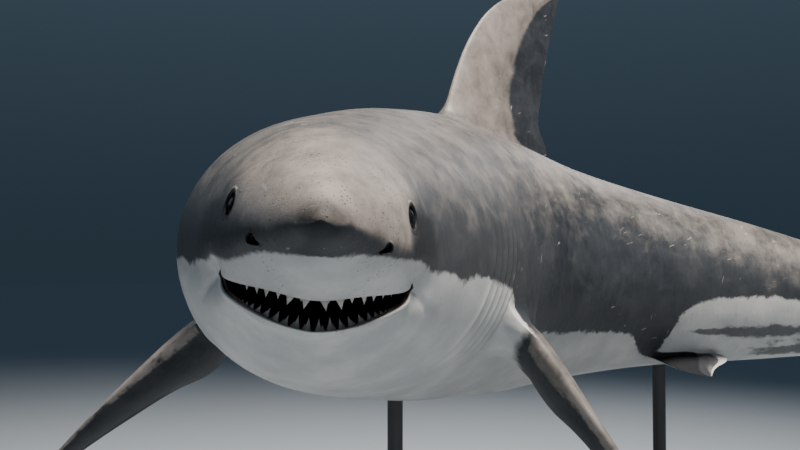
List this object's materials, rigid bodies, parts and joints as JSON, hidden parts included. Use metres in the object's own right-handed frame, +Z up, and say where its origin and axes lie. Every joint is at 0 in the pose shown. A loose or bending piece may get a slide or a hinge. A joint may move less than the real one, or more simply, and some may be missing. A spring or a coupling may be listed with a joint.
{
  "type": "great white shark model",
  "caption": "Life-size still great white shark, swimming with its body curved and mouth slightly open, held over a flat base by short rods.",
  "frame": {"origin": "bottom centre of the bounding box of the whole model, on the floor under the stand", "axes": "+Z up; the middle of the body heads along -Y and the tail lies toward +Y; the head is turned toward +X, the fish's left"},
  "size_m": [1.7772, 3.7334, 1.9614],
  "materials": {
    "skin_back": "fine matt, slightly satin shark skin, slate grey to brown grey",
    "skin_belly": "fine matt shark skin, off-white",
    "eye": "polished, near black",
    "stand": "dark grey powder coat"
  },
  "bodies": {
    "root": {"head": "skin_back", "lower_jaw": "skin_belly", "gill_region": "skin_back", "trunk_front": "skin_back", "trunk_rear": "skin_back", "tail_stalk": "skin_back", "caudal_fin_upper": "skin_back", "caudal_fin_lower": "skin_back", "first_dorsal_fin": "skin_back", "second_dorsal_fin": "skin_back", "anal_fin": "skin_back", "pectoral_fin_left": "skin_back", "pectoral_fin_right": "skin_back", "pelvic_fin_left": "skin_back", "pelvic_fin_right": "skin_back", "eye_left": "eye", "eye_right": "eye", "stand_base": "stand", "stand_rod_front": "stand", "stand_rod_rear": "stand"}
  },
  "joints": []
}
